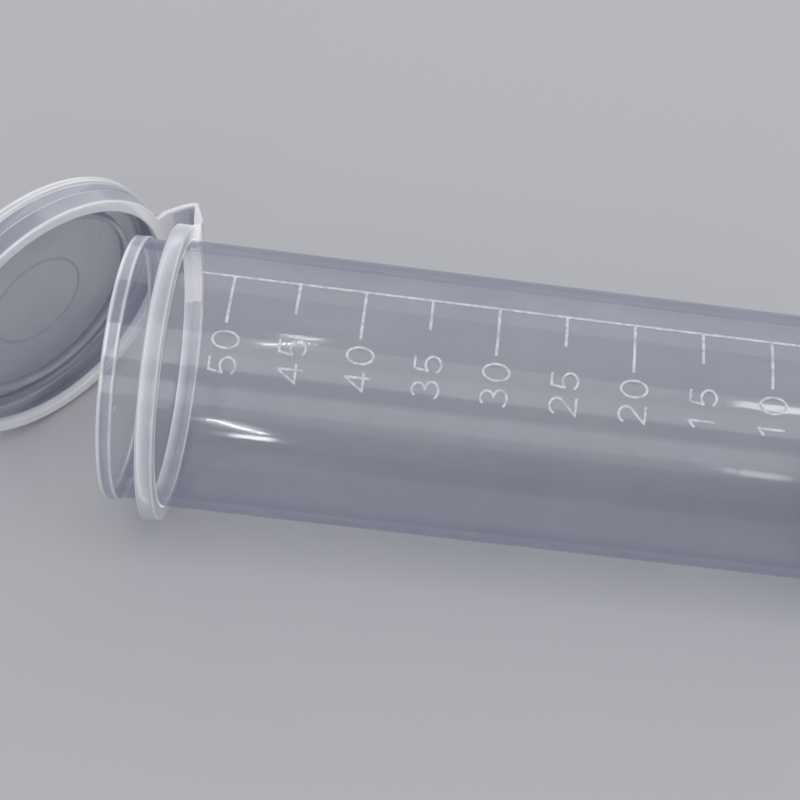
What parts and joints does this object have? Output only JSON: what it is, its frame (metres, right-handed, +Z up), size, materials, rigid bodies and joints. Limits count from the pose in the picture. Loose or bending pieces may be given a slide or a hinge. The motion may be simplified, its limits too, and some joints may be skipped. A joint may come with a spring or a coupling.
{
  "type": "sample tube with hinged lid",
  "caption": "Clear-white graduated plastic tube with a flat base, a rack collar and a snap lid on a folding strap, lying with its lid ajar.",
  "frame": {"origin": "centre of the bounding box's bottom, on the surface the tube lies on", "axes": "+X along the tube from the mouth towards the base, +Y towards the strap's side, +Z up"},
  "size_m": [0.1166, 0.0394, 0.0355],
  "materials": {
    "polypropylene": "translucent natural polypropylene, smooth moulded, slightly milky",
    "white_ink": "white printed ink"
  },
  "bodies": {
    "tube": {"tube_body": "polypropylene", "rack_collar": "polypropylene", "graduation_scale": "white_ink"},
    "lower_leaf": {"hinge_leaf_lower": "polypropylene"},
    "upper_leaf": {"hinge_leaf_upper": "polypropylene"},
    "lid": {"lid_cap": "polypropylene", "lid_seal_ring": "polypropylene", "lid_thumb_tab": "polypropylene"}
  },
  "joints": [
    {"name": "strap_root_fold", "type": "hinge", "parent": "tube", "child": "lower_leaf", "pos_m": [-0.02674, 0.01577, 0.01752], "axis": [-0.0267, 0, -0.9996], "range_deg": [-2.05, 7]},
    {"name": "strap_middle_fold", "type": "hinge", "parent": "lower_leaf", "child": "upper_leaf", "pos_m": [-0.02705, 0.01835, 0.01753], "axis": [-0.0267, 0, -0.9996], "range_deg": [-30.86, 105.94]},
    {"name": "lid_fold", "type": "hinge", "parent": "upper_leaf", "child": "lid", "pos_m": [-0.03, 0.01711, 0.0176], "axis": [-0.0267, 0, -0.9996], "range_deg": [-7.75, 26.55]}
  ],
  "couplings": [
    {"joint": "strap_root_fold", "follows": "strap_middle_fold", "ratio": 0.065789},
    {"joint": "lid_fold", "follows": "strap_middle_fold", "ratio": 0.25}
  ]
}
